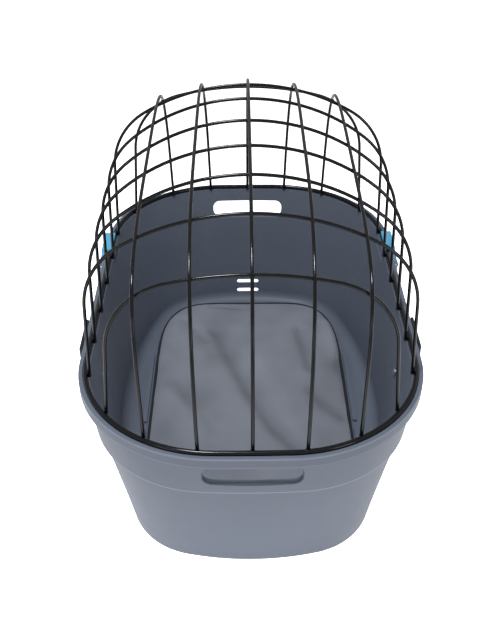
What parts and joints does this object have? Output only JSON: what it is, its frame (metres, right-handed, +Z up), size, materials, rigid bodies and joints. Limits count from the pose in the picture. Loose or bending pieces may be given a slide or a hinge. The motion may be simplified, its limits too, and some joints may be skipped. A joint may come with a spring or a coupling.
{
  "type": "dog bike basket",
  "caption": "Oval plastic bicycle basket for a small dog, with a domed wire guard that swings open, side latches and a floor cushion.",
  "frame": {"origin": "centre of the tub's underside", "axes": "+X to the basket's right, -Y to its front, +Z up"},
  "size_m": [0.3666, 0.532, 0.3831],
  "materials": {
    "tub_plastic": "fine satin grey-blue moulding",
    "coated_wire": "semi-gloss black coating",
    "latch_plastic": "light blue gloss",
    "black_plastic": "black satin",
    "steel": "bright zinc",
    "cushion_fabric": "plain grey woven cover"
  },
  "bodies": {
    "tub_body": {"tub": "tub_plastic", "cushion": "cushion_fabric", "keeper_left": "black_plastic", "keeper_right": "black_plastic", "keeper_screws": "steel", "latch_pin_left": "steel", "latch_pin_right": "steel"},
    "guard": {"base_ring": "coated_wire", "hoop_1": "coated_wire", "hoop_2": "coated_wire", "hoop_3": "coated_wire", "hoop_4": "coated_wire", "hoop_5": "coated_wire", "hoop_6": "coated_wire", "hoop_7": "coated_wire", "hoop_8": "coated_wire", "rib_1": "coated_wire", "rib_2": "coated_wire", "rib_3": "coated_wire", "rib_4": "coated_wire", "rib_5": "coated_wire"},
    "latch_left": {"latch_lever_left": "latch_plastic", "latch_tongue_left": "latch_plastic"},
    "latch_right": {"latch_lever_right": "latch_plastic", "latch_tongue_right": "latch_plastic"}
  },
  "joints": [
    {"name": "guard_swing", "type": "hinge", "parent": "tub_body", "child": "guard", "pos_m": [0.1675, 0, 0.1801], "axis": [0, 1, 0], "range_deg": [0, 85], "deforming": ["latch_tongue_left"]},
    {"name": "latch_left_turn", "type": "hinge", "parent": "tub_body", "child": "latch_left", "pos_m": [-0.1793, 0.1054, 0.1631], "axis": [0, -1, 0], "range_deg": [0, 50]},
    {"name": "latch_right_turn", "type": "hinge", "parent": "tub_body", "child": "latch_right", "pos_m": [0.1793, 0.1054, 0.1631], "axis": [0, 1, 0], "range_deg": [0, 50]}
  ]
}
